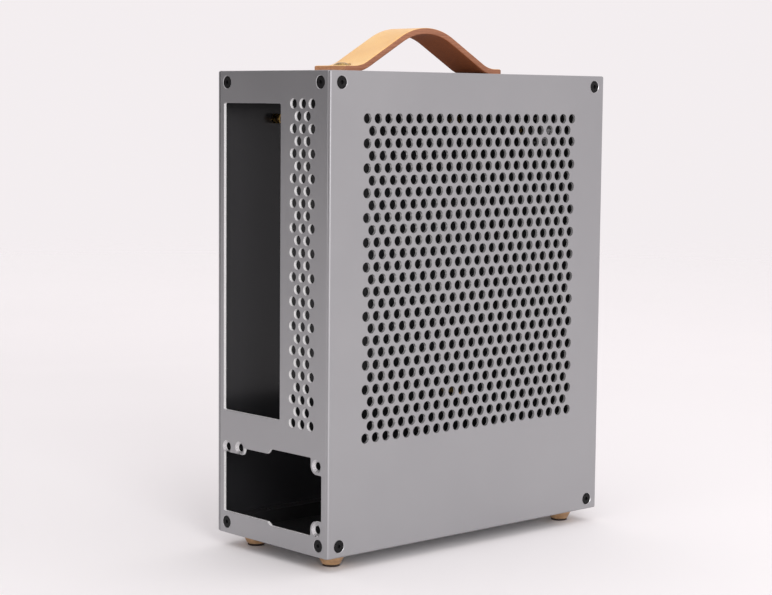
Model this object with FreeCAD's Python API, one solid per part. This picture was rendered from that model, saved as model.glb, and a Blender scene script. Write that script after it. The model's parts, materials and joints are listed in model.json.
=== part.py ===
"""Small desktop computer tower: an empty Mini-ITX case of flat aluminium panels with a leather strap.

Frame: millimetres, +Z up, front towards -Y, rear towards +Y, left (vented side) towards -X.
The origin is on the standing surface, under the middle of the body.
Every separate piece of the case is one STEP file in parts/; identical small pieces share a file.
"""

import FreeCAD, Part
import math
import os

Vector = FreeCAD.Vector
X = Vector(1, 0, 0)
Y = Vector(0, 1, 0)
Z = Vector(0, 0, 1)

# ---------------------------------------------------------------- driving dimensions

BODY_WIDTH = 88.5
BODY_DEPTH = 197.5
BODY_HEIGHT = 240.0
SHEET = 1.5                 # thickness of every outer panel
SEAM = 0.1                  # visible gap between neighbouring panels
EDGE_ROUND = 0.8            # rounded outer edges of the two side panels

FOOT_CONE = 6.0             # height of a turned wooden foot
FOOT_PAD = 1.2              # height of the rubber pad under it
FOOT_TOP_D = 14.8
FOOT_BOTTOM_D = 9.4
FOOT_INSET_X = 14.0         # foot centre to the body's side
FOOT_INSET_Y = 14.5         # foot centre to the body's front or rear

# Vent pattern: round holes on an equilateral lattice
VENT_D = 5.1
VENT_PITCH = 7.05
VENT_ROW = VENT_PITCH * math.sqrt(3.0) / 2.0
VENT_ROWS = 27
SIDE_COLUMNS = 22           # holes in a long row; the rows between have one fewer
SIDE_FIRST_BELOW_TOP = 23.2
SIDE_FIRST_FROM_REAR = 24.2
REAR_COLUMNS = 3
REAR_FIRST_FROM_SIDE = 13.7

# Rear connector aperture of the board, 158.75 high as the board standard says
IO_HEIGHT = 158.75
IO_WIDTH = 46.0
IO_FROM_SIDE = 4.9          # aperture's edge to the plain side
IO_TOP_BELOW_TOP = 16.3
IO_CORNER = 1.0

# Power supply: 81.5 x 40.5 unit on a 72 x 32 screw pattern
PSU_PATTERN_W = 72.0
PSU_PATTERN_H = 32.0
PSU_EXTRA_FROM_CORNER = 10.4    # the second upper screw, beside the corner one
PSU_CENTRE_X = 0.7
PSU_LOWER_SCREW_Z = 20.8
PSU_HOLE_D = 4.1
PSU_SINK_D = 6.7

# Panel screws: M3 countersunk
SCREW_FROM_SIDE = 7.45
SCREW_FROM_END = 5.8
SCREW_LENGTH = 5.0
SIDE_SCREW_LENGTH = 6.0
SCREW_HEAD_D = 6.3
SCREW_SINK_D = 6.7
SCREW_SHANK_D = 2.9
TAPPED_D = 3.0
CLEAR_D = 3.4
SOCKET_FLATS = 2.0
LID_SCREW_X = 37.75         # top and bottom panel screws
LID_SCREW_Y = 70.0

RAIL_HEIGHT = 7.2
RAIL_INNER_X = 33.75        # rail's inner face to the middle plane

# Board side: tray plate and four hexagonal standoffs
TRAY = 1.0
STANDOFF = 6.0
STANDOFF_FLATS = 5.0
BOARD_REAR_GAP = 1.2        # rear panel's inner face to the board's rear edge
BOARD_TOP_HOLE_Z = 222.95
BOARD_HOLE_RISE = 157.48
HOLE_C = 33.02              # distances from the board's rear edge
HOLE_F = 10.16
HOLE_H_AND_J = 165.10

# Leather strap
STRAP_WIDTH = 24.0
STRAP_THICK = 3.2
STRAP_FRONT_END = -51.0
STRAP_REAR_END = 61.4
STRAP_RISE = 20.5           # underside of the crest above the top panel
STRAP_SLOPE = 29.6
STRAP_FOOT_R = 22.0
STRAP_CREST_R = 34.9
STRAP_MIDDLE_Y = 4.2
STRAP_SCREW_Y = 49.0
STRAP_HEAD_D = 9.6
STRAP_HEAD_H = 1.8

# Power button: a 12 mm metal push-button in the front panel
BUTTON_Z = 217.0
BUTTON_BARREL_D = 12.0
BUTTON_FLANGE_D = 14.6
BUTTON_FLANGE_H = 1.4
BUTTON_GASKET_H = 0.5
BUTTON_BARREL_L = 12.5
BUTTON_CAP_D = 9.4
BUTTON_TRAVEL = 1.5

# ---------------------------------------------------------------- derived planes

BASE_Z = FOOT_CONE + FOOT_PAD
TOP_Z = BASE_Z + BODY_HEIGHT
HALF_W = BODY_WIDTH / 2.0
HALF_D = BODY_DEPTH / 2.0
IN_X = HALF_W - SHEET
IN_Y = HALF_D - SHEET
FLOOR_Z = BASE_Z + SHEET
CEILING_Z = TOP_Z - SHEET
SCREW_X = HALF_W - SCREW_FROM_SIDE
SCREW_Y = HALF_D - SCREW_FROM_SIDE
SCREW_LEVELS = (BASE_Z + SCREW_FROM_END, TOP_Z - SCREW_FROM_END)
RAIL_LEVELS = (FLOOR_Z, CEILING_Z - RAIL_HEIGHT)
TRAY_X = IN_X - TRAY
IO_TOP = TOP_Z - IO_TOP_BELOW_TOP
IO_RIGHT = HALF_W - IO_FROM_SIDE
FOOT_PLACES = {
    "front_left": (FOOT_INSET_X - HALF_W, FOOT_INSET_Y - HALF_D),
    "front_right": (HALF_W - FOOT_INSET_X, FOOT_INSET_Y - HALF_D),
    "rear_left": (FOOT_INSET_X - HALF_W, HALF_D - FOOT_INSET_Y),
    "rear_right": (HALF_W - FOOT_INSET_X, HALF_D - FOOT_INSET_Y),
}


# ---------------------------------------------------------------- small helpers

def block(x0, x1, y0, y1, z0, z1):
    return Part.makeBox(x1 - x0, y1 - y0, z1 - z0, Vector(x0, y0, z0))


def rod(start, direction, diameter, length):
    return Part.makeCylinder(diameter / 2.0, length, start, direction)


def cone(start, direction, d0, d1, length):
    return Part.makeCone(d0 / 2.0, d1 / 2.0, length, start, direction)


def tube(start, direction, outer, inner, length):
    return rod(start, direction, outer, length).cut(rod(start, direction, inner, length))


def hexagon_bar(start, direction, flats, length):
    """Hexagonal bar from start along direction, with the given width across flats."""
    side = X if abs(direction.dot(X)) < 0.5 else Y
    up = direction.cross(side)
    radius = flats / math.sqrt(3.0)
    corners = []
    for i in range(7):
        angle = math.radians(60.0 * i)
        corners.append(start + side * (radius * math.cos(angle)) + up * (radius * math.sin(angle)))
    return Part.Face(Part.makePolygon(corners)).extrude(direction * length)


def save(name, solids):
    """Write one node: a single solid, or a group of separate solids."""
    group = solids if isinstance(solids, list) else [solids]
    shape = group[0] if len(group) == 1 else Part.makeCompound(group)
    for solid in shape.Solids:
        if not solid.isValid():
            raise ValueError("invalid solid in " + name)
    shape.exportStep("parts/" + name + ".step")
    print(name, len(shape.Solids), "solids", round(shape.Volume, 1), "mm3")


def rounded_rectangle(corner, side, up, width, height, radius):
    """Wire of a rectangle with rounded corners, from its lowest corner along side and up."""
    arms = [(0, 0, -90), (width, 0, 0), (width, height, 90), (0, height, 180)]
    edges = []
    ends = []
    for a, b, turn in arms:
        cx = radius if a == 0 else width - radius
        cy = radius if b == 0 else height - radius
        points = []
        for step in (-90, -45, 0):
            angle = math.radians(turn + step)
            points.append(corner + side * (cx + radius * math.cos(angle))
                          + up * (cy + radius * math.sin(angle)))
        edges.append(Part.Arc(*points).toShape())
        ends.append((points[0], points[2]))
    for i in range(4):
        edges.append(Part.LineSegment(ends[i][1], ends[(i + 1) % 4][0]).toShape())
    return Part.Wire(Part.__sortEdges__(edges))


# ---------------------------------------------------------------- screws and their holes

def socket_screw(face, inward, length):
    """M3 countersunk screw with a hexagon socket, its head just under the panel's face."""
    start = face + inward * 0.08
    head_h = SHEET - 0.08
    head = cone(start, inward, SCREW_HEAD_D, SCREW_SHANK_D, head_h)
    shank = rod(start + inward * head_h, inward, SCREW_SHANK_D, length - head_h - 0.08)
    socket = hexagon_bar(start, inward, SOCKET_FLATS, 1.1)
    return head.fuse(shank).removeSplitter().cut(socket)


def sunk_hole(face, inward):
    """Cutter for one countersunk M3 hole through a panel."""
    sink_h = (SCREW_SINK_D - CLEAR_D) / 2.0
    sink = cone(face, inward, SCREW_SINK_D, CLEAR_D, min(sink_h, SHEET))
    return sink.fuse(rod(face, inward, CLEAR_D, SHEET))


def side_screw_places(x):
    return [Vector(x, y, z) for y in (-SCREW_Y, SCREW_Y) for z in SCREW_LEVELS]


def end_screw_places(y):
    return [Vector(x, y, z) for x in (-SCREW_X, SCREW_X) for z in SCREW_LEVELS]


def lid_screw_places(z):
    return [Vector(x, y, z) for x in (-LID_SCREW_X, LID_SCREW_X) for y in (-LID_SCREW_Y, LID_SCREW_Y)]


# ---------------------------------------------------------------- vent lattices

def vent_centres(columns, first, step_direction, z_first):
    """Hole centres, row by row: long rows of columns holes, short rows half a pitch in."""
    centres = []
    for row in range(VENT_ROWS):
        short = row % 2
        for column in range(columns - short):
            along = (column + 0.5 * short) * VENT_PITCH
            centres.append(first + step_direction * along + Z * (z_first - row * VENT_ROW))
    return centres


# ---------------------------------------------------------------- side panels

def side_panel(outer_x, holes):
    """Full-size side panel with rounded outer edges; holes are the vent centres on its face."""
    inner_x = math.copysign(abs(outer_x) - SHEET, outer_x)
    inward = X if outer_x < 0 else X * -1
    outline = rounded_rectangle(Vector(inner_x, -HALF_D, BASE_Z), Y, Z, BODY_DEPTH, BODY_HEIGHT, 1.0)
    plate = Part.Face(outline).extrude(inward * -SHEET)
    rims = [e for e in plate.Edges if all(abs(v.X - outer_x) < 1e-6 for v in e.Vertexes)]
    plate = plate.makeFillet(EDGE_ROUND, rims)
    if holes:
        drills = [rod(Vector(outer_x, c.y, c.z) - inward, inward, VENT_D, SHEET + 2.0) for c in holes]
        plate = plate.cut(Part.makeCompound(drills))
    for place in side_screw_places(outer_x):
        plate = plate.cut(sunk_hole(place, inward))
    return plate


def make_side_panels():
    first = Vector(0, HALF_D - SIDE_FIRST_FROM_REAR, 0)
    holes = vent_centres(SIDE_COLUMNS, first, Y * -1, TOP_Z - SIDE_FIRST_BELOW_TOP)
    save("vented_side_panel", side_panel(-HALF_W, holes))
    save("plain_side_panel", side_panel(HALF_W, []))


# ---------------------------------------------------------------- rear and front panels

def psu_screw_places():
    """Four screws of the power supply: three corners of its pattern and one beside the fourth."""
    left = PSU_CENTRE_X - PSU_PATTERN_W / 2.0
    right = PSU_CENTRE_X + PSU_PATTERN_W / 2.0
    high = PSU_LOWER_SCREW_Z + PSU_PATTERN_H
    return {
        "lower_left": Vector(left, HALF_D, PSU_LOWER_SCREW_Z),
        "upper_left": Vector(left, HALF_D, high),
        "upper_right": Vector(right, HALF_D, high),
        "upper_extra": Vector(right - PSU_EXTRA_FROM_CORNER, HALF_D, high + 0.7),
    }


def psu_opening():
    """Cutter for the power supply's stepped opening, with round lands left about its screws."""
    screws = psu_screw_places()
    edge = 39.2                 # half width of the opening
    fan_low, fan_high = 17.0, 56.6
    low, high = 18.7, 53.8
    shelf = 50.2                # under the two screws at the upper right
    ramp_in, ramp_out = 0.4, 3.1
    land_r = 4.3
    y0 = HALF_D - SHEET - 1.0

    def at(x, z):
        return Vector(x, y0, z)

    def on_land(screw, degrees):
        angle = math.radians(degrees)
        return at(screw.x + land_r * math.cos(angle), screw.z + land_r * math.sin(angle))

    def land(screw, start, end):
        points = [on_land(screw, a) for a in (start, (start + end) / 2.0, end)]
        return points[0], Part.Arc(*points).toShape(), points[2]

    extra = screws["upper_extra"]
    enter = 180.0 - math.degrees(math.asin((high - extra.z) / land_r))
    leave = 180.0 + math.degrees(math.asin((extra.z - shelf) / land_r))
    stretches = [
        at(-edge, 30.0), at(-edge, screws["lower_left"].z + land_r),
        land(screws["lower_left"], 90.0, 0.0),
        at(screws["lower_left"].x + land_r, fan_low), at(ramp_in, fan_low), at(ramp_out, low),
        at(edge, low), at(edge, shelf),
        land(extra, leave, enter),
        at(ramp_out, high), at(ramp_in, fan_high), at(screws["upper_left"].x + land_r, fan_high),
        land(screws["upper_left"], 0.0, -90.0),
        at(-edge, screws["upper_left"].z - land_r), at(-edge, 30.0),
    ]
    edges = []
    sharp = []
    last = stretches[0]
    for item in stretches[1:]:
        if isinstance(item, tuple):
            edges.append(Part.LineSegment(last, item[0]).toShape())
            edges.append(item[1])
            last = item[2]
        else:
            edges.append(Part.LineSegment(last, item).toShape())
            sharp.append(item)
            last = item
    cutter = Part.Face(Part.Wire(edges)).extrude(Y * (SHEET + 2.0))
    rounded = [e for e in cutter.Edges if stands_at(e, sharp[:-1])]
    return cutter.makeFillet(0.7, rounded)


def stands_at(edge, corners):
    """True for a straight edge along Y that stands at one of the corners."""
    ends = [v.Point for v in edge.Vertexes]
    if len(ends) != 2 or abs(abs(ends[1].y - ends[0].y) - edge.Length) > 1e-6:
        return False
    return any(math.hypot(ends[0].x - c.x, ends[0].z - c.z) < 1e-6 for c in corners)


def end_panel(outer_y):
    """Plate between the side panels, with its four countersunk corner screws."""
    inward = Y if outer_y < 0 else Y * -1
    x = IN_X - SEAM
    y0, y1 = sorted((outer_y, outer_y + inward.y * SHEET))
    plate = block(-x, x, y0, y1, BASE_Z, TOP_Z)
    rims = [e for e in plate.Edges if all(abs(v.Y - outer_y) < 1e-6 for v in e.Vertexes)]
    plate = plate.makeChamfer(0.25, rims)
    for place in end_screw_places(outer_y):
        plate = plate.cut(sunk_hole(place, inward))
    return plate


def make_rear_panel():
    plate = end_panel(HALF_D)
    corner = Vector(IO_RIGHT - IO_WIDTH, HALF_D + 1.0, IO_TOP - IO_HEIGHT)
    outline = rounded_rectangle(corner, X, Z, IO_WIDTH, IO_HEIGHT, IO_CORNER)
    plate = plate.cut(Part.Face(outline).extrude(Y * -(SHEET + 2.0)))
    first = Vector(REAR_FIRST_FROM_SIDE - HALF_W, HALF_D + 1.0, 0)
    drills = [rod(c, Y * -1, VENT_D, SHEET + 2.0) for c in vent_centres(REAR_COLUMNS, first, X, IO_TOP)]
    plate = plate.cut(Part.makeCompound(drills))
    plate = plate.cut(psu_opening())
    sink_h = (PSU_SINK_D - PSU_HOLE_D) / 2.0 - 0.2
    for place in psu_screw_places().values():
        plate = plate.cut(rod(place, Y * -1, PSU_HOLE_D, SHEET))
        plate = plate.cut(cone(place, Y * -1, PSU_SINK_D, PSU_HOLE_D, sink_h))
    save("rear_panel", plate)


def make_front_panel():
    plate = end_panel(-HALF_D)
    hole = rod(Vector(0, -HALF_D - 1.0, BUTTON_Z), Y, BUTTON_BARREL_D + 0.1, SHEET + 2.0)
    save("front_panel", plate.cut(hole))


# ---------------------------------------------------------------- top and bottom panels

def lid(z_outer, holes):
    """Plate between the four upright panels, with countersunk screws into the rails."""
    inward = Z if z_outer < TOP_Z / 2.0 else Z * -1
    x = IN_X - SEAM
    y = IN_Y - SEAM
    z0, z1 = sorted((z_outer, z_outer + inward.z * SHEET))
    plate = block(-x, x, -y, y, z0, z1)
    rims = [e for e in plate.Edges if all(abs(v.Z - z_outer) < 1e-6 for v in e.Vertexes)]
    plate = plate.makeChamfer(0.25, rims)
    for place in lid_screw_places(z_outer):
        plate = plate.cut(sunk_hole(place, inward))
    for centre, diameter in holes:
        plate = plate.cut(rod(Vector(centre[0], centre[1], z0 - 1.0), Z, diameter, SHEET + 2.0))
    return plate


def strap_screw_places():
    return [(0.0, STRAP_MIDDLE_Y + s * STRAP_SCREW_Y) for s in (-1, 1)]


def make_lids():
    save("top_panel", lid(TOP_Z, [(place, 4.3) for place in strap_screw_places()]))
    save("bottom_panel", lid(BASE_Z, [(place, 3.2) for place in FOOT_PLACES.values()]))


# ---------------------------------------------------------------- rails, tray and standoffs

def rail(sign, z_low):
    """Aluminium rail along one long edge, tapped for the side, end and lid screws."""
    outer = IN_X if sign < 0 else TRAY_X
    x0, x1 = sorted((sign * RAIL_INNER_X, sign * outer))
    bar = block(x0, x1, -IN_Y + SEAM, IN_Y - SEAM, z_low, z_low + RAIL_HEIGHT)
    level = SCREW_LEVELS[0] if z_low < TOP_Z / 2.0 else SCREW_LEVELS[1]
    for y in (-SCREW_Y, SCREW_Y):
        bar = bar.cut(rod(Vector(x0 - 1.0, y, level), X, TAPPED_D, x1 - x0 + 2.0))
    for y, inward in ((-HALF_D, Y), (HALF_D, Y * -1)):
        bar = bar.cut(rod(Vector(sign * SCREW_X, y, level), inward, TAPPED_D, 8.0))
    for y in (-LID_SCREW_Y, LID_SCREW_Y):
        bar = bar.cut(rod(Vector(sign * LID_SCREW_X, y, z_low - 1.0), Z, TAPPED_D, RAIL_HEIGHT + 2.0))
    return bar


def make_rails():
    for sign, side in ((-1, "left"), (1, "right")):
        for z_low, level in zip(RAIL_LEVELS, ("lower", "upper")):
            save(level + "_" + side + "_rail", rail(sign, z_low))


def board_hole_places():
    rear_edge = IN_Y - BOARD_REAR_GAP
    low = BOARD_TOP_HOLE_Z - BOARD_HOLE_RISE
    return [
        (rear_edge - HOLE_C, BOARD_TOP_HOLE_Z),
        (rear_edge - HOLE_H_AND_J, BOARD_TOP_HOLE_Z),
        (rear_edge - HOLE_F, low),
        (rear_edge - HOLE_H_AND_J, low),
    ]


def make_tray():
    y = IN_Y - 0.3
    plate = block(TRAY_X, IN_X, -y, y, FLOOR_Z + 0.3, CEILING_Z - 0.3)
    for y_hole, z in board_hole_places():
        plate = plate.cut(rod(Vector(TRAY_X - 1.0, y_hole, z), X, 4.0, TRAY + 2.0))
    for place in side_screw_places(TRAY_X):
        plate = plate.cut(rod(place - X, X, CLEAR_D, TRAY + 2.0))
    save("motherboard_tray", plate)


def standoff(y, z):
    """Hexagonal brass standoff pressed into the tray, with a blind M3 thread towards the board."""
    seat = Vector(TRAY_X, y, z)
    body = hexagon_bar(seat, X * -1, STANDOFF_FLATS, STANDOFF)
    plug = rod(seat, X, 4.0, TRAY)
    thread = rod(seat - X * STANDOFF, X, 2.5, STANDOFF - 0.8)
    mouth = cone(seat - X * STANDOFF, X, 3.1, 2.5, 0.3)
    return body.fuse(plug).cut(thread).cut(mouth)


# ---------------------------------------------------------------- leather strap

def strap_profile():
    """Slope, straight length and half span of the underside: an arch of three arcs and two lines."""
    slope = math.radians(STRAP_SLOPE)
    turn_rise = (STRAP_FOOT_R + STRAP_CREST_R) * (1.0 - math.cos(slope))
    straight = (STRAP_RISE - turn_rise) / math.sin(slope)
    half_span = (STRAP_FOOT_R + STRAP_CREST_R) * math.sin(slope) + straight * math.cos(slope)
    return slope, straight, half_span


def strap_side(offset):
    """Edges of the strap's long face at an offset above the underside, from -Y to +Y."""
    slope, straight, half_span = strap_profile()
    x = -STRAP_WIDTH / 2.0
    foot_r = STRAP_FOOT_R - offset
    crest_r = STRAP_CREST_R + offset
    foot_centre_z = TOP_Z + STRAP_FOOT_R
    crest_centre_z = TOP_Z + STRAP_RISE - STRAP_CREST_R

    def at(y, z):
        return Vector(x, STRAP_MIDDLE_Y + y, z)

    def foot_point(sign, angle):
        return at(sign * (half_span - foot_r * math.sin(angle)), foot_centre_z - foot_r * math.cos(angle))

    def crest_point(sign, angle):
        return at(sign * crest_r * math.sin(angle), crest_centre_z + crest_r * math.cos(angle))

    flat_z = TOP_Z + offset
    edges = []
    for sign, end_y in ((-1, STRAP_FRONT_END), (1, STRAP_REAR_END)):
        end = Vector(x, end_y, flat_z)
        start = foot_point(sign, 0.0)
        edges.append(Part.LineSegment(end, start).toShape())
        edges.append(Part.Arc(start, foot_point(sign, slope / 2.0), foot_point(sign, slope)).toShape())
        edges.append(Part.LineSegment(foot_point(sign, slope), crest_point(sign, slope)).toShape())
    crest = Part.Arc(crest_point(-1, slope), crest_point(1, 0.0), crest_point(1, slope))
    edges.append(crest.toShape())
    return edges


def make_strap():
    ends = []
    for y in (STRAP_FRONT_END, STRAP_REAR_END):
        low = Vector(-STRAP_WIDTH / 2.0, y, TOP_Z)
        ends.append(Part.LineSegment(low, low + Z * STRAP_THICK).toShape())
    outline = Part.Wire(Part.__sortEdges__(strap_side(0.0) + strap_side(STRAP_THICK) + ends))
    strap = Part.Face(outline).extrude(X * STRAP_WIDTH)
    for x, y in strap_screw_places():
        strap = strap.cut(rod(Vector(x, y, TOP_Z - 1.0), Z, 4.3, STRAP_THICK + 2.0))
        head_print = rod(Vector(x, y, TOP_Z + STRAP_THICK), Z, STRAP_HEAD_D + 0.1, 5.0)
        strap = strap.cut(head_print)
    save("handle_strap", strap)


def strap_screw(x, y):
    """Low brass screw with a domed head and a hexagon socket, through strap and top panel."""
    seat = Vector(x, y, TOP_Z + STRAP_THICK)
    dome_r = (STRAP_HEAD_D ** 2 / 4.0 + STRAP_HEAD_H ** 2) / (2.0 * STRAP_HEAD_H)
    ball = Part.makeSphere(dome_r, seat - Z * (dome_r - STRAP_HEAD_H))
    head = ball.common(rod(seat, Z, STRAP_HEAD_D, STRAP_HEAD_H + 1.0))
    length = STRAP_THICK + SHEET + 5.0
    shank = rod(seat, Z * -1, 4.0, length)
    socket = hexagon_bar(seat + Z * STRAP_HEAD_H, Z * -1, 2.5, 1.2)
    return head.fuse(shank).removeSplitter().cut(socket)


def make_strap_fasteners():
    screws = []
    washers = []
    nuts = []
    for x, y in strap_screw_places():
        screws.append(strap_screw(x, y))
        washers.append(tube(Vector(x, y, CEILING_Z), Z * -1, 9.0, 4.3, 0.8))
        nut = hexagon_bar(Vector(x, y, CEILING_Z - 0.8), Z * -1, 7.0, 3.2)
        nuts.append(nut.cut(rod(Vector(x, y, CEILING_Z), Z * -1, 4.1, 8.0)))
    save("strap_screws", screws)
    save("strap_washers", washers)
    save("strap_nuts", nuts)


# ---------------------------------------------------------------- feet

def foot(x, y):
    """Turned cone with a narrow flat rim at the top and a pocket for its screw head below."""
    rim = rod(Vector(x, y, BASE_Z - 1.0), Z, FOOT_TOP_D, 1.0)
    body = cone(Vector(x, y, FOOT_PAD), Z, FOOT_BOTTOM_D, FOOT_TOP_D, FOOT_CONE - 1.0)
    pocket = rod(Vector(x, y, FOOT_PAD), Z, 6.0, 2.4)
    drill = rod(Vector(x, y, 0), Z, 3.2, BASE_Z)
    return rim.fuse(body).removeSplitter().cut(pocket).cut(drill)


def foot_screw(x, y):
    """M3 pan-head screw, up through the foot and the bottom panel into its nut."""
    head = rod(Vector(x, y, FOOT_PAD + 0.3), Z, 5.6, 2.1)
    shank = rod(Vector(x, y, FOOT_PAD + 2.4), Z, SCREW_SHANK_D, 8.2)
    socket = hexagon_bar(Vector(x, y, FOOT_PAD + 0.3), Z, SOCKET_FLATS, 1.2)
    return head.fuse(shank).removeSplitter().cut(socket)


def make_feet():
    screws = []
    nuts = []
    for name, (x, y) in FOOT_PLACES.items():
        save("foot_" + name, foot(x, y))
        pad = rod(Vector(x, y, 0), Z, FOOT_BOTTOM_D - 0.5, FOOT_PAD)
        low = [e for e in pad.Edges if all(abs(v.Z) < 1e-6 for v in e.Vertexes)]
        save("pad_" + name, pad.makeFillet(0.3, low))
        screws.append(foot_screw(x, y))
        nut = hexagon_bar(Vector(x, y, FLOOR_Z), Z, 5.5, 2.2)
        nuts.append(nut.cut(rod(Vector(x, y, FLOOR_Z), Z, TAPPED_D, 3.0)))
    save("foot_screws", screws)
    save("foot_nuts", nuts)


# ---------------------------------------------------------------- power button

FLANGE_Y = -HALF_D - BUTTON_GASKET_H        # back of the bezel's flange
FACE_Y = FLANGE_Y - BUTTON_FLANGE_H         # front of the bezel
SHOULDER_Y = FACE_Y + 7.4                   # inner shoulder that the spring stands on
BARREL_END_Y = FLANGE_Y + BUTTON_BARREL_L
DOME_Y = BARREL_END_Y + 0.6                 # foot of the snap dome
DOME_RISE = 0.75
STEM_END_Y = DOME_Y - DOME_RISE - BUTTON_TRAVEL - 0.1
STEM_D = 3.0


def on_axis(y):
    return Vector(0, y, BUTTON_Z)


def make_bezel():
    flange = rod(on_axis(FACE_Y), Y, BUTTON_FLANGE_D, BUTTON_FLANGE_H)
    rim = [e for e in flange.Edges if all(abs(v.Y - FACE_Y) < 1e-6 for v in e.Vertexes)]
    flange = flange.makeFillet(0.6, rim)
    barrel = rod(on_axis(FLANGE_Y), Y, BUTTON_BARREL_D - 0.1, BUTTON_BARREL_L)
    bezel = flange.fuse(barrel).removeSplitter()
    bezel = bezel.cut(rod(on_axis(FACE_Y), Y, BUTTON_CAP_D + 0.16, SHOULDER_Y - FACE_Y))
    bezel = bezel.cut(rod(on_axis(FACE_Y), Y, STEM_D + 0.16, 30.0))
    bezel = bezel.cut(rod(on_axis(SHOULDER_Y + 1.6), Y, 9.0, 30.0))
    save("button_bezel", bezel)


def make_button_cap():
    """Dished cap with a skirt, flush with the bezel; its stem runs through the bezel's shoulder."""
    cap = rod(on_axis(FACE_Y + 0.1), Y, BUTTON_CAP_D, 3.0)
    rim = [e for e in cap.Edges if all(abs(v.Y - FACE_Y - 0.1) < 1e-6 for v in e.Vertexes)]
    cap = cap.makeChamfer(0.3, rim)
    dish = Part.makeSphere(45.0, on_axis(FACE_Y + 0.1 - 45.0 + 0.22))
    pocket = tube(on_axis(FACE_Y + 1.6), Y, 8.0, STEM_D, 3.0)
    save("button_cap", cap.cut(dish).cut(pocket))
    stem_start = FACE_Y + 3.1
    groove_y = SHOULDER_Y + 1.75
    stem = rod(on_axis(stem_start), Y, STEM_D, STEM_END_Y - stem_start)
    groove = tube(on_axis(groove_y), Y, STEM_D + 1.0, 2.2, 0.6)
    save("button_stem", stem.cut(groove))
    clip = tube(on_axis(groove_y + 0.05), Y, 5.4, 2.3, 0.5)
    slot = block(-0.9, 0.9, groove_y, groove_y + 0.6, BUTTON_Z, BUTTON_Z + 4.0)
    save("button_clip", clip.cut(slot))


def make_spring():
    """Coil of round wire between the cap's pocket and the bezel's shoulder."""
    start = FACE_Y + 1.6 + 0.05
    length = SHOULDER_Y - 0.05 - start
    wire_d = 0.45
    coil_r = 2.9
    turns = 5.0
    helix = Part.makeHelix((length - wire_d) / turns, length - wire_d, coil_r)
    section = Part.Wire(Part.makeCircle(wire_d / 2.0, Vector(coil_r, 0, 0), Y))
    coil = Part.Wire(helix.Edges).makePipeShell([section], True, True)
    coil.rotate(Vector(0, 0, 0), X, -90.0)
    coil.translate(on_axis(start + wire_d / 2.0))
    save("button_spring", coil)


def make_switch():
    nut = hexagon_bar(on_axis(-IN_Y), Y, 15.0, 2.5)
    nut = nut.cut(rod(on_axis(-IN_Y), Y, BUTTON_BARREL_D + 0.02, 4.0))
    save("button_nut", nut)
    gasket = tube(on_axis(FLANGE_Y), Y, 13.8, BUTTON_BARREL_D + 0.1, BUTTON_GASKET_H)
    save("button_gasket", gasket)
    body = rod(on_axis(BARREL_END_Y), Y, 11.4, 5.0)
    collar = rod(on_axis(BARREL_END_Y - 3.0), Y, 8.9, 3.0)
    well = rod(on_axis(BARREL_END_Y - 3.0), Y, 6.2, 3.6)
    housing = body.fuse(collar).removeSplitter().cut(well)
    pins = []
    for x in (-2.54, 2.54):
        pin = block(x - 0.4, x + 0.4, BARREL_END_Y + 1.5, BARREL_END_Y + 9.5, BUTTON_Z - 1.0, BUTTON_Z + 1.0)
        housing = housing.cut(pin)
        pins.append(pin)
    save("switch_housing", housing)
    save("switch_terminals", pins)
    dome = cone(on_axis(DOME_Y - DOME_RISE), Y, 2.4, 5.6, DOME_RISE)
    dome = dome.cut(cone(on_axis(DOME_Y - DOME_RISE + 0.15), Y, 2.2, 5.4, DOME_RISE - 0.14))
    save("contact_dome", dome)


# ---------------------------------------------------------------- build

def make_screw_groups():
    groups = {
        "rear_panel_screws": (end_screw_places(HALF_D), Y * -1, SCREW_LENGTH),
        "front_panel_screws": (end_screw_places(-HALF_D), Y, SCREW_LENGTH),
        "vented_side_screws": (side_screw_places(-HALF_W), X, SIDE_SCREW_LENGTH),
        "plain_side_screws": (side_screw_places(HALF_W), X * -1, SIDE_SCREW_LENGTH),
        "top_panel_screws": (lid_screw_places(TOP_Z), Z * -1, SCREW_LENGTH),
        "bottom_panel_screws": (lid_screw_places(BASE_Z), Z, SCREW_LENGTH),
    }
    for name, (places, inward, length) in groups.items():
        save(name, [socket_screw(place, inward, length) for place in places])


def main():
    os.makedirs("parts", exist_ok=True)
    make_side_panels()
    make_rear_panel()
    make_front_panel()
    make_lids()
    make_rails()
    make_tray()
    save("board_standoffs", [standoff(y, z) for y, z in board_hole_places()])
    make_strap()
    make_strap_fasteners()
    make_feet()
    make_bezel()
    make_button_cap()
    make_spring()
    make_switch()
    make_screw_groups()


main()
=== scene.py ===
"""Looks of the small desktop computer tower: materials, the leather strap, floor, light and camera."""
import json
import math

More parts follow.
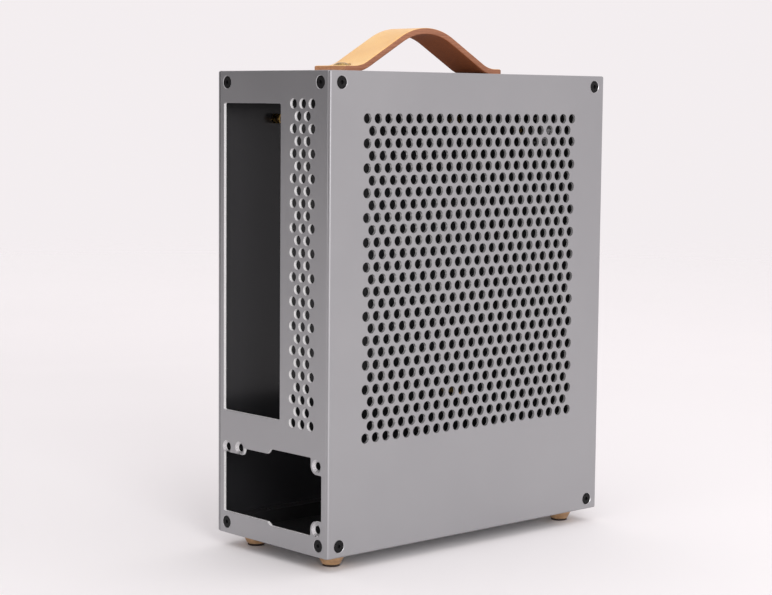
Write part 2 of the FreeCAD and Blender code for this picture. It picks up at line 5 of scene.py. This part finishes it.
import bmesh
import bpy
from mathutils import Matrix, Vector


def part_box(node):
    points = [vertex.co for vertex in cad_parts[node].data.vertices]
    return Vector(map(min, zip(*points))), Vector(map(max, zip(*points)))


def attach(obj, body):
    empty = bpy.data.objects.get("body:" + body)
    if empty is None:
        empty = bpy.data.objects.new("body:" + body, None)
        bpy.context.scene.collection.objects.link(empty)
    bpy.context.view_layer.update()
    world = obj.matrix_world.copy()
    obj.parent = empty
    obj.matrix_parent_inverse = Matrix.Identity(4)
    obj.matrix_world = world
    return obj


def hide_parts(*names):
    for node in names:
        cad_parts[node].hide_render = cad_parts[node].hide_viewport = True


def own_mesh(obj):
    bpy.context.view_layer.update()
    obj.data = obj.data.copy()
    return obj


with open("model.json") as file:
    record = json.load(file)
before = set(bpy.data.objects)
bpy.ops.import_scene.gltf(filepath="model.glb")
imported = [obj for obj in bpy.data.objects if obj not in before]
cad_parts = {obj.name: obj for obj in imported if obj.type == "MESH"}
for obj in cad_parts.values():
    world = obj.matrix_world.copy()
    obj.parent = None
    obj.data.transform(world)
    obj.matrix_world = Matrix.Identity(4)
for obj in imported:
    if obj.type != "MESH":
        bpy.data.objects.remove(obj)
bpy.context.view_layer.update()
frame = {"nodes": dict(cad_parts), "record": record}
nodes = frame["nodes"]


# ---------------------------------------------------------------- material helpers

class Finish:
    """A principled material and the node chains that the finishes share."""

    def __init__(self, name, colour, metallic, roughness):
        self.material = bpy.data.materials.new(name)
        self.material.use_nodes = True
        self.tree = self.material.node_tree
        self.shader = self.tree.nodes["Principled BSDF"]
        self.shader.inputs["Base Color"].default_value = (*colour, 1.0)
        self.shader.inputs["Metallic"].default_value = metallic
        self.shader.inputs["Roughness"].default_value = roughness
        self.place = self.add("ShaderNodeTexCoord").outputs["Object"]
        self.normal = None

    def add(self, kind, **values):
        node = self.tree.nodes.new(kind)
        for key, value in values.items():
            setattr(node, key, value)
        return node

    def link(self, a, b):
        self.tree.links.new(a, b)

    def texture(self, kind, scale, stretch, **values):
        """A texture node in the object's own coordinates, which are stretched first."""
        mapping = self.add("ShaderNodeMapping")
        mapping.inputs["Scale"].default_value = stretch
        self.link(self.place, mapping.inputs["Vector"])
        node = self.add(kind, **values)
        node.inputs["Scale"].default_value = scale
        self.link(mapping.outputs[0], node.inputs["Vector"])
        return node

    def noise(self, scale, detail=4.0, rough=0.55, stretch=(1.0, 1.0, 1.0)):
        node = self.texture("ShaderNodeTexNoise", scale, stretch)
        node.inputs["Detail"].default_value = detail
        node.inputs["Roughness"].default_value = rough
        return node.outputs["Fac"]

    def cells(self, scale, stretch):
        node = self.texture("ShaderNodeTexVoronoi", scale, stretch, feature="DISTANCE_TO_EDGE")
        return node.outputs["Distance"]

    def spread(self, value, low, high, start=0.3, end=0.7):
        node = self.add("ShaderNodeMapRange")
        node.inputs["From Min"].default_value = start
        node.inputs["From Max"].default_value = end
        node.inputs["To Min"].default_value = low
        node.inputs["To Max"].default_value = high
        self.link(value, node.inputs["Value"])
        return node.outputs[0]

    def ramp(self, value, *stops):
        node = self.add("ShaderNodeValToRGB")
        band = node.color_ramp
        while len(band.elements) < len(stops):
            band.elements.new(0.5)
        for element, (at, colour) in zip(band.elements, stops):
            element.position = at
            element.color = (*colour, 1.0)
        self.link(value, node.inputs["Fac"])
        return node.outputs["Color"]

    def roughen(self, value, low, high):
        self.link(self.spread(value, low, high), self.shader.inputs["Roughness"])

    def paint(self, colour):
        self.link(colour, self.shader.inputs["Base Color"])

    def bump(self, value, distance, strength=1.0):
        node = self.add("ShaderNodeBump")
        node.inputs["Distance"].default_value = distance
        node.inputs["Strength"].default_value = strength
        self.link(value, node.inputs["Height"])
        if self.normal is not None:
            self.link(self.normal, node.inputs["Normal"])
        self.normal = node.outputs["Normal"]
        self.link(self.normal, self.shader.inputs["Normal"])

    def soft_edges(self, radius):
        node = self.add("ShaderNodeBevel", samples=6)
        node.inputs["Radius"].default_value = radius
        self.normal = node.outputs["Normal"]
        self.link(self.normal, self.shader.inputs["Normal"])


# ---------------------------------------------------------------- finishes

def blasted_aluminium():
    f = Finish("blasted_aluminium", (0.41, 0.41, 0.42), 1.0, 0.46)
    f.soft_edges(0.00022)
    cloud = f.noise(16.0, 3.0)
    grain = f.noise(5200.0, 2.0, 0.7)
    f.paint(f.ramp(cloud, (0.30, (0.400, 0.400, 0.412)), (0.72, (0.425, 0.425, 0.436))))
    f.roughen(cloud, 0.44, 0.49)
    f.bump(grain, 0.00003, 0.30)
    return f.material


def machined_edge(name, dark, light, metallic):
    """Cut faces left by the cutter: fine marks across the sheet."""
    f = Finish(name, (light, light, light), metallic, 0.30)
    marks = f.noise(3200.0, 2.0, 0.5, (1.0, 0.08, 1.0))
    f.paint(f.ramp(marks, (0.30, (dark, dark, dark)), (0.70, (light, light, light))))
    f.roughen(marks, 0.24, 0.38)
    f.bump(marks, 0.00002, 0.25)
    return f.material


def turned_sink():
    """Bright turned cone of a countersink, which mirrors more than it scatters."""
    f = Finish("turned_sink", (0.62, 0.62, 0.63), 1.0, 0.26)
    rings = f.noise(2600.0, 2.0)
    f.paint(f.ramp(rings, (0.30, (0.560, 0.560, 0.570)), (0.70, (0.680, 0.680, 0.690))))
    f.roughen(rings, 0.20, 0.34)
    f.bump(rings, 0.00002, 0.25)
    return f.material


def dark_coat_and_painted_shade():
    """Satin near-black on the inward faces and the rails: a guessed black coat, made this dark as painted
    shade for the dim inside of the case.
    """
    f = Finish("dark_coat_and_painted_shade", (0.008, 0.008, 0.009), 0.0, 0.55)
    texture = f.noise(900.0, 4.0)
    f.paint(f.ramp(texture, (0.35, (0.007, 0.007, 0.008)), (0.70, (0.012, 0.012, 0.013))))
    f.roughen(texture, 0.48, 0.62)
    f.bump(texture, 0.00002, 0.25)
    return f.material


def gloss_black():
    f = Finish("gloss_black", (0.020, 0.020, 0.022), 0.0, 0.12)
    f.shader.inputs["Specular IOR Level"].default_value = 0.6
    peel = f.noise(160.0, 2.0)
    haze = f.noise(30.0, 4.0)
    f.roughen(haze, 0.15, 0.22)
    f.bump(peel, 0.00001, 0.15)
    return f.material


def black_oxide():
    f = Finish("black_oxide", (0.010, 0.010, 0.011), 0.0, 0.36)
    f.shader.inputs["Specular IOR Level"].default_value = 0.10
    f.soft_edges(0.00012)
    wear = f.noise(1500.0, 4.0)
    f.paint(f.ramp(wear, (0.45, (0.008, 0.008, 0.009)), (0.75, (0.026, 0.025, 0.024))))
    f.roughen(wear, 0.30, 0.46)
    f.bump(wear, 0.00002, 0.3)
    return f.material


def turned_metal(name, dark, light, low, high):
    f = Finish(name, light, 1.0, low)
    f.soft_edges(0.00015)
    wear = f.noise(700.0, 5.0, 0.6)
    f.paint(f.ramp(wear, (0.35, dark), (0.65, light)))
    f.roughen(wear, low, high)
    f.bump(f.noise(1800.0, 2.0), 0.00002, 0.25)
    return f.material


def moulded_plastic():
    f = Finish("moulded_plastic", (0.03, 0.03, 0.032), 0.0, 0.55)
    f.soft_edges(0.0002)
    texture = f.noise(2400.0, 3.0)
    f.roughen(texture, 0.48, 0.62)
    f.bump(texture, 0.00003, 0.4)
    return f.material


def pad_rubber():
    f = Finish("pad_rubber", (0.030, 0.024, 0.021), 0.0, 0.80)
    f.soft_edges(0.0002)
    texture = f.noise(1900.0, 5.0, 0.65)
    f.paint(f.ramp(texture, (0.35, (0.024, 0.014, 0.010)), (0.70, (0.055, 0.032, 0.022))))
    f.roughen(texture, 0.72, 0.90)
    f.bump(texture, 0.00006, 0.5)
    return f.material


def turned_wood():
    """Fine straight-grained wood with turning rings and a thin oil film."""
    f = Finish("turned_wood", (0.50, 0.32, 0.17), 0.0, 0.42)
    f.soft_edges(0.00025)
    grain = f.noise(260.0, 6.0, 0.62, (1.0, 0.12, 1.0))
    pores = f.noise(2600.0, 3.0, 0.6, (1.0, 0.10, 1.0))
    f.paint(f.ramp(grain, (0.28, (0.290, 0.165, 0.080)), (0.52, (0.500, 0.300, 0.150)),
                   (0.78, (0.640, 0.415, 0.230))))
    f.roughen(grain, 0.34, 0.52)
    f.shader.inputs["Coat Weight"].default_value = 0.22
    f.shader.inputs["Coat Roughness"].default_value = 0.28
    f.bump(pores, 0.00004, 0.35)
    return f.material


def leather_top():
    """Smooth grain side of vegetable-tanned hide: fine cells, pores, and slow colour drift."""
    f = Finish("leather_top", (0.82, 0.52, 0.22), 0.0, 0.46)
    drift = f.noise(46.0, 5.0, 0.55)
    cells = f.cells(1500.0, (1.0, 0.8, 1.0))
    pores = f.noise(5200.0, 4.0, 0.6)
    f.paint(f.ramp(drift, (0.25, (0.890, 0.500, 0.150)), (0.50, (0.955, 0.575, 0.195)),
                   (0.78, (0.980, 0.650, 0.260))))
    f.roughen(drift, 0.40, 0.54)
    f.shader.inputs["Sheen Weight"].default_value = 0.12
    f.shader.inputs["Coat Weight"].default_value = 0.10
    f.shader.inputs["Coat Roughness"].default_value = 0.42
    f.bump(f.spread(cells, 0.0, 1.0, 0.0, 0.22), 0.00007, 0.45)
    f.bump(pores, 0.00003, 0.30)
    return f.material


def leather_edge(name, dark, middle, light):
    """Cut edge: compressed fibres in thin layers, slipped to a dull pinkish brown."""
    f = Finish(name, middle, 0.0, 0.60)
    fibre = f.noise(620.0, 6.0, 0.66, (1.0, 0.16, 3.4))
    f.paint(f.ramp(fibre, (0.28, dark), (0.55, middle), (0.80, light)))
    f.roughen(fibre, 0.50, 0.72)
    f.bump(fibre, 0.00012, 0.55)
    return f.material


def leather_flesh():
    """Flesh side: dark reddish brown with a short nap."""
    f = Finish("leather_flesh", (0.160, 0.042, 0.016), 0.0, 0.82)
    nap = f.noise(1500.0, 6.0, 0.72)
    f.paint(f.ramp(nap, (0.30, (0.270, 0.068, 0.018)), (0.70, (0.480, 0.145, 0.045))))
    f.roughen(nap, 0.74, 0.92)
    f.bump(nap, 0.00014, 0.6)
    return f.material


finishes = {
    "anodised_panel": blasted_aluminium(),
    "black_tray": gloss_black(),
    # rails: near-black, a guessed coat deepened as painted shade
    "black_rail": dark_coat_and_painted_shade(),
    "black_screw": black_oxide(),
    "brass": turned_metal("turned_brass", (0.20, 0.12, 0.035), (0.56, 0.37, 0.13), 0.20, 0.34),
    "zinc_steel": turned_metal("zinc_steel", (0.46, 0.46, 0.45), (0.62, 0.62, 0.60), 0.26, 0.42),
    "spring_steel": turned_metal("spring_steel", (0.40, 0.40, 0.42), (0.55, 0.55, 0.57), 0.20, 0.34),
    "foot_wood": turned_wood(),
    "rubber_pad": pad_rubber(),
    "button_metal": turned_metal("button_metal", (0.56, 0.56, 0.57), (0.66, 0.66, 0.67), 0.24, 0.34),
    "switch_plastic": moulded_plastic(),
}
# Cut faces of the openings: machined faces are shinier than blasted ones, and this near-white, mostly
# diffuse colour is a painted highlight.
cut_face_painted_highlight = machined_edge("machined_edge", 0.880, 0.920, 0.10)
vent_wall = machined_edge("vent_wall", 0.46, 0.54, 0.6)
sink = turned_sink()
# Inward panel faces share the rails' near-black: partly a guessed coat, partly painted shade.
inside_coat_and_shade = finishes["black_rail"]
leather = (     # in the order of the face indices GRAIN, EDGE, FLESH and END
    leather_top(),
    leather_edge("leather_edge", (0.235, 0.085, 0.040), (0.370, 0.150, 0.078), (0.480, 0.225, 0.120)),
    leather_flesh(),
    # End faces: the same cut leather as the long edges, given lighter colours as painted light on the
    # ends.
    leather_edge("leather_end_painted_light", (0.480, 0.200, 0.095), (0.680, 0.330, 0.165), (0.800, 0.450, 0.240)),
)


def dress_cad_nodes():
    """Gives each CAD node the finish of its material slot."""
    for part in frame["record"]["subparts"]:
        finish = finishes.get(part["material_slot"])
        if finish is None:
            continue
        mesh = nodes[part["node"]].data
        mesh.materials.clear()
        mesh.materials.append(finish)


MM = 0.001
BLASTED, INSIDE, CUT, SUNK = range(4)     # material indices on a panel
RIM = 0.9 * MM                           # faces this near a panel's outline belong to its rim
PANELS = {                               # axis that the panel faces along, and which way is out
    "vented_side_panel": (0, -1.0), "plain_side_panel": (0, 1.0),
    "rear_panel": (1, 1.0), "front_panel": (1, -1.0),
    "top_panel": (2, 1.0), "bottom_panel": (2, -1.0),
}


def dress_panel(name, axis, sign):
    """Blasted outside and rim, near-black inside (a guessed coat, deepened as painted shade), cut faces in
    the holes and openings (near white on all but the vented side panel, a painted highlight), turned faces
    in sinks.
    """
    low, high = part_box(name)
    mesh = nodes[name].data
    mesh.materials.append(inside_coat_and_shade)
    mesh.materials.append(vent_wall if name == "vented_side_panel" else cut_face_painted_highlight)
    mesh.materials.append(sink)
    across = [i for i in range(3) if i != axis]
    for face in mesh.polygons:
        facing = face.normal[axis] * sign
        at_rim = any(min(face.center[i] - low[i], high[i] - face.center[i]) < RIM for i in across)
        if facing < -0.5:
            face.material_index = INSIDE
        elif facing > 0.95 or at_rim:
            face.material_index = BLASTED
        elif facing > 0.3:
            face.material_index = SUNK
        else:
            face.material_index = CUT


# ---------------------------------------------------------------- leather strap

STRAP_WIDTH = 24.0 * MM
STRAP_THICK = 3.2 * MM
STRAP_RISE = 20.5 * MM
STRAP_SLOPE = math.radians(29.6)
STRAP_FOOT_R = 22.0 * MM
STRAP_CREST_R = 34.9 * MM
SCREW_FROM_MIDDLE = 49.0 * MM
SCREW_BORE_R = 2.15 * MM
HEAD_PRINT_R = 4.85 * MM
STRAP_EDGE_R = 0.55 * MM         # rounding along the strap's long edges
END_ROUND_LENGTH = 0.7 * MM      # stretch at each end over which the thickness and width draw in
END_ROUND_DEPTH = 0.30 * MM
END_NARROWING = 0.010            # share of the width lost at each end
STEPS_PER_HALF = 70
PLUG_LENGTH = 12.0 * MM
GRAIN, EDGE, FLESH, END = range(4)       # material indices on the strap


def strap_half(half_length, steps):
    """Places along half the underside, from the crest out: (distance, height, slope angle)."""
    turn_rise = (STRAP_FOOT_R + STRAP_CREST_R) * (1.0 - math.cos(STRAP_SLOPE))
    straight = (STRAP_RISE - turn_rise) / math.sin(STRAP_SLOPE)
    half_span = ((STRAP_FOOT_R + STRAP_CREST_R) * math.sin(STRAP_SLOPE)
                 + straight * math.cos(STRAP_SLOPE))
    lengths = (STRAP_CREST_R * STRAP_SLOPE, straight, STRAP_FOOT_R * STRAP_SLOPE, half_length - half_span)
    half = []
    for i in range(steps + 1):
        s = sum(lengths) * i / steps
        if s <= lengths[0]:
            a = s / STRAP_CREST_R
            y, z = STRAP_CREST_R * math.sin(a), STRAP_RISE - STRAP_CREST_R * (1.0 - math.cos(a))
        elif s <= lengths[0] + lengths[1]:
            a, run = STRAP_SLOPE, s - lengths[0]
            y = STRAP_CREST_R * math.sin(a) + run * math.cos(a)
            z = STRAP_RISE - STRAP_CREST_R * (1.0 - math.cos(a)) - run * math.sin(a)
        elif s <= sum(lengths[:3]):
            a = STRAP_SLOPE - (s - lengths[0] - lengths[1]) / STRAP_FOOT_R
            y, z = half_span - STRAP_FOOT_R * math.sin(a), STRAP_FOOT_R * (1.0 - math.cos(a))
        else:
            a, y, z = 0.0, half_span + s - sum(lengths[:3]), 0.0
        half.append((y, z, a))
    return half


def strap_section():
    """Outline across the strap, as (across, height) with rounded long edges."""
    soft = STRAP_EDGE_R
    half = STRAP_WIDTH / 2.0
    right = [(half - soft, 0.0)]
    for i in range(1, 5):
        a = math.radians(-90.0 + 90.0 * i / 4)
        right.append((half - soft + soft * math.cos(a), soft + soft * math.sin(a)))
    for i in range(5):
        a = math.radians(90.0 * i / 4)
        right.append((half - soft + soft * math.cos(a), STRAP_THICK - soft + soft * math.sin(a)))
    across_top = [(half - soft - (STRAP_WIDTH - 2 * soft) * i / 12, STRAP_THICK) for i in range(1, 12)]
    left = [(-x, z) for x, z in reversed(right)]
    across_low = [(-half + soft + (STRAP_WIDTH - 2 * soft) * i / 12, 0.0) for i in range(1, 12)]
    return right + across_top + left + across_low


def make_strap():
    """Arched leather strap, with a bore and a head's print where each screw holds it."""
    low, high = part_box("handle_strap")
    screws_low, screws_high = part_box("strap_screws")
    middle = (screws_low.y + screws_high.y) / 2.0
    front = strap_half(middle - low.y, STEPS_PER_HALF)
    rear = strap_half(high.y - middle, STEPS_PER_HALF)
    line = [(-y, z, a) for y, z, a in reversed(front[1:])] + [(y, z, -a) for y, z, a in rear]
    section = strap_section()
    bm = bmesh.new()
    rings = []
    for y, z, angle in line:
        from_end = min(middle + y - low.y, high.y - middle - y)
        round_off = max(0.0, 1.0 - from_end / END_ROUND_LENGTH)
        ring = []
        for x, h in section:
            h += END_ROUND_DEPTH * round_off * (-1.0 if h > STRAP_THICK / 2.0 else 1.0)
            ring.append(bm.verts.new((x * (1.0 - END_NARROWING * round_off),
                                      middle + y - h * math.sin(angle),
                                      low.z + z + h * math.cos(angle))))
        rings.append(ring)
    count = len(section)
    for a, b in zip(rings, rings[1:]):
        for k in range(count):
            bm.faces.new((a[k], a[(k + 1) % count], b[(k + 1) % count], b[k]))
    bm.faces.new(list(reversed(rings[0])))
    bm.faces.new(rings[-1])
    bmesh.ops.recalc_face_normals(bm, faces=bm.faces)
    mesh = bpy.data.meshes.new("strap_leather")
    bm.to_mesh(mesh)
    bm.free()
    strap = bpy.data.objects.new("strap_leather", mesh)
    bpy.context.scene.collection.objects.link(strap)
    for skin in leather:
        mesh.materials.append(skin)
    paint_strap_faces(strap)
    for sign in (-1.0, 1.0):
        y = middle + sign * SCREW_FROM_MIDDLE
        cut_round(strap, Vector((0.0, y, low.z)), SCREW_BORE_R)
        cut_round(strap, Vector((0.0, y, low.z + STRAP_THICK + PLUG_LENGTH / 2.0)), HEAD_PRINT_R)
    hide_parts("handle_strap")
    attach(strap, "case")


def paint_strap_faces(strap):
    for face in strap.data.polygons:
        if abs(face.normal.y) > 0.90:
            face.material_index = END
        elif abs(face.normal.x) > 0.72:
            face.material_index = EDGE
        elif face.normal.z > 0:
            face.material_index = GRAIN
        else:
            face.material_index = FLESH
        face.use_smooth = face.material_index != END


def cut_round(strap, place, radius):
    """Takes a round upright plug, centred on the place, out of the strap."""
    bm = bmesh.new()
    bmesh.ops.create_cone(bm, cap_ends=True, segments=48, radius1=radius, radius2=radius,
                          depth=PLUG_LENGTH)
    bmesh.ops.translate(bm, verts=bm.verts, vec=place)
    mesh = bpy.data.meshes.new("bore")
    bm.to_mesh(mesh)
    bm.free()
    drill = bpy.data.objects.new("bore", mesh)
    bpy.context.scene.collection.objects.link(drill)
    modifier = strap.modifiers.new("bore", "BOOLEAN")
    modifier.operation = "DIFFERENCE"
    modifier.solver = "EXACT"
    modifier.object = drill
    bpy.context.view_layer.update()
    done = bpy.data.meshes.new_from_object(strap.evaluated_get(bpy.context.evaluated_depsgraph_get()))
    strap.modifiers.clear()
    strap.data = done
    bpy.data.objects.remove(drill)


# ---------------------------------------------------------------- button spring


def make_button_spring():
    """Copies the button's coil into a mesh of its own, fixed to the case, and hides the CAD node."""
    coil = nodes["button_spring"]
    spring = bpy.data.objects.new("button_spring_coil", coil.data.copy())
    bpy.context.scene.collection.objects.link(spring)
    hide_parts("button_spring")
    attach(spring, "case")
    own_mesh(spring)


# ---------------------------------------------------------------- floor, light and camera

FLOOR_HALF = 6.0
FLOOR_FADE = (0.7, 2.4)      # the floor is whole up to the first distance and gone at the second


def make_floor():
    """Pale paper floor that fades out with distance, so that no horizon shows."""
    bm = bmesh.new()
    bmesh.ops.create_grid(bm, x_segments=1, y_segments=1, size=FLOOR_HALF)
    mesh = bpy.data.meshes.new("floor")
    bm.to_mesh(mesh)
    bm.free()
    floor = bpy.data.objects.new("floor", mesh)
    bpy.context.scene.collection.objects.link(floor)
    f = Finish("floor_paper", (0.86, 0.845, 0.85), 0.0, 0.85)
    tone = f.noise(3.0, 2.0)
    f.paint(f.ramp(tone, (0.3, (0.925, 0.912, 0.914)), (0.7, (0.940, 0.926, 0.929))))
    distance = f.add("ShaderNodeVectorMath", operation="LENGTH")
    f.link(f.place, distance.inputs[0])
    fade = f.spread(distance.outputs["Value"], 1.0, 0.0, *FLOOR_FADE)
    f.link(fade, f.shader.inputs["Alpha"])
    mesh.materials.append(f.material)


def area_light(name, place, target, size, power):
    data = bpy.data.lights.new(name, "AREA")
    data.shape = "RECTANGLE"
    data.size, data.size_y = size
    data.energy = power
    lamp = bpy.data.objects.new(name, data)
    lamp.location = place
    lamp.rotation_euler = (Vector(target) - Vector(place)).to_track_quat("-Z", "Y").to_euler()
    bpy.context.scene.collection.objects.link(lamp)


def dark_card(place, size):
    """Black flag beside the set: it darkens what the upper rear panel mirrors."""
    bm = bmesh.new()
    bmesh.ops.create_grid(bm, x_segments=1, y_segments=1, size=0.5)
    mesh = bpy.data.meshes.new("dark_card")
    bm.to_mesh(mesh)
    bm.free()
    card = bpy.data.objects.new("dark_card", mesh)
    card.location = place
    card.rotation_euler = (Vector((0.0, 0.0, place[2])) - Vector(place)).to_track_quat("Z", "Y").to_euler()
    card.scale = (size[0], size[1], 1.0)
    card.visible_camera = False
    bpy.context.scene.collection.objects.link(card)
    f = Finish("card_cloth", (0.02, 0.02, 0.02), 0.0, 0.9)
    f.roughen(f.noise(400.0), 0.85, 0.95)
    mesh.materials.append(f.material)


def make_light():
    """Pale surround, a key light at the rear left and a wide soft one overhead."""
    world = bpy.data.worlds.new("studio")
    world.use_nodes = True
    world.node_tree.nodes["Background"].inputs["Color"].default_value = (0.900, 0.855, 0.870, 1.0)
    world.node_tree.nodes["Background"].inputs["Strength"].default_value = 1.0
    bpy.context.scene.world = world
    middle = (0.0, 0.0, 0.13)
    area_light("key_left_rear", (-1.30, 0.62, 0.55), middle, (0.5, 1.0), 8.0)
    area_light("overhead", (0.0, 0.0, 3.0), middle, (4.0, 4.0), 17.0)
    dark_card((0.62, 0.80, 0.61), (1.3, 0.9))


def make_camera():
    """Long lens, level with the tower's upper half, looking at its rear left corner."""
    data = bpy.data.cameras.new("camera")
    data.sensor_width = 36.0
    data.lens = 90.24
    data.clip_start = 0.05
    camera = bpy.data.objects.new("camera", data)
    camera.location = (-0.7540, 0.7082, 0.2320)
    camera.rotation_euler = tuple(math.radians(a) for a in (84.237, -0.535, -132.290))
    bpy.context.scene.collection.objects.link(camera)
    bpy.context.scene.camera = camera


dress_cad_nodes()
for panel, (panel_axis, panel_sign) in PANELS.items():
    dress_panel(panel, panel_axis, panel_sign)
make_strap()
make_button_spring()
make_floor()
make_light()
make_camera()
bpy.context.scene.view_settings.view_transform = "Standard"
